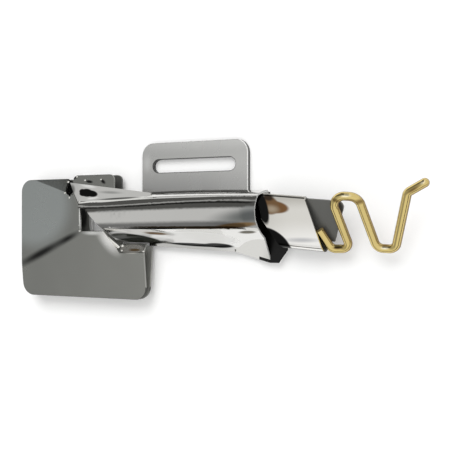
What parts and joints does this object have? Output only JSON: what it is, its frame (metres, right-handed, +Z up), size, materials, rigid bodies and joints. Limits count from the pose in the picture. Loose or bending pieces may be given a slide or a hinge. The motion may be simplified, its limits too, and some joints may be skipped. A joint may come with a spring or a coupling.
{
  "type": "bias tape binder attachment",
  "caption": "Right-angle sewing binder: slotted bed plate, folded metal scroll, hipped mouth leaves, flat tape chute and bent brass wire guide.",
  "frame": {"origin": "middle of the screw slot, on the face that lies on the machine bed", "axes": "+Y along the scroll and the slot towards the tape inlet, +X to the front edge of the mouth leaves, +Z up off the bed"},
  "size_m": [0.0571, 0.1571, 0.0178],
  "materials": {
    "satin_steel": "satin ground steel",
    "bright_plate": "bright plated sheet",
    "dark_plate": "polished dark plated sheet",
    "brass_wire": "bright drawn brass"
  },
  "bodies": {
    "root": {"mounting_plate": "satin_steel", "outer_scroll": "bright_plate", "fold_tongue": "dark_plate", "upper_leaf": "dark_plate", "lower_leaf": "dark_plate", "tape_chute": "bright_plate", "tape_guide": "brass_wire"}
  },
  "joints": []
}
